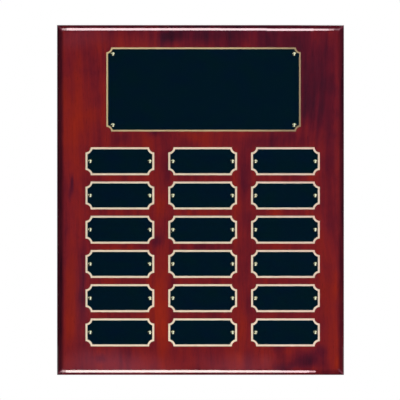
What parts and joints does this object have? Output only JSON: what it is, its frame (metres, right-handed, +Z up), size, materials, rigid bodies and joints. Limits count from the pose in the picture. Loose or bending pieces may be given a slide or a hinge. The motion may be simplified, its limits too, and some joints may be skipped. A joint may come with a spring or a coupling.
{
  "type": "wooden plaque",
  "caption": "Upright rosewood award plaque with a rounded gloss edge, a black header plate above a grid of scooped-corner black name plates with gold borders, and keyhole hangers.",
  "frame": {"origin": "centre of the board's back face, which lies on the wall", "axes": "+Z up as the plaque hangs, the front faces -Y, +X to the right as seen from the front"},
  "size_m": [0.2666, 0.021, 0.3254],
  "materials": {
    "fibreboard": "bare medium-density fibreboard",
    "rosewood": "red rosewood veneer under clear high-gloss lacquer",
    "backing": "balancing veneer stained dark, matt",
    "header_brass": "bright rolled brass sheet",
    "name_plate_brass": "bright rolled pale brass sheet",
    "black_lacquer": "screen-printed blue-black lacquer, satin gloss",
    "pin_brass": "pale brass-plated, polished head",
    "zinc_steel": "pressed steel, bright zinc plated",
    "screw_steel": "steel, yellow zinc plated"
  },
  "bodies": {
    "root": {"board_core": "fibreboard", "rosewood_veneer": "rosewood", "backing_veneer": "backing", "header_plate": "header_brass", "header_black_field": "black_lacquer", "name_plate_r1c1": "name_plate_brass", "name_plate_r1c2": "name_plate_brass", "name_plate_r1c3": "name_plate_brass", "name_plate_r2c1": "name_plate_brass", "name_plate_r2c2": "name_plate_brass", "name_plate_r2c3": "name_plate_brass", "name_plate_r3c1": "name_plate_brass", "name_plate_r3c2": "name_plate_brass", "name_plate_r3c3": "name_plate_brass", "name_plate_r4c1": "name_plate_brass", "name_plate_r4c2": "name_plate_brass", "name_plate_r4c3": "name_plate_brass", "name_plate_r5c1": "name_plate_brass", "name_plate_r5c2": "name_plate_brass", "name_plate_r5c3": "name_plate_brass", "name_plate_r6c1": "name_plate_brass", "name_plate_r6c2": "name_plate_brass", "name_plate_r6c3": "name_plate_brass", "name_plate_black_fields": "black_lacquer", "header_pins": "pin_brass", "name_plate_pins": "pin_brass", "keyhole_hanger_left": "zinc_steel", "keyhole_hanger_right": "zinc_steel", "hanger_screws": "screw_steel"}
  },
  "joints": []
}
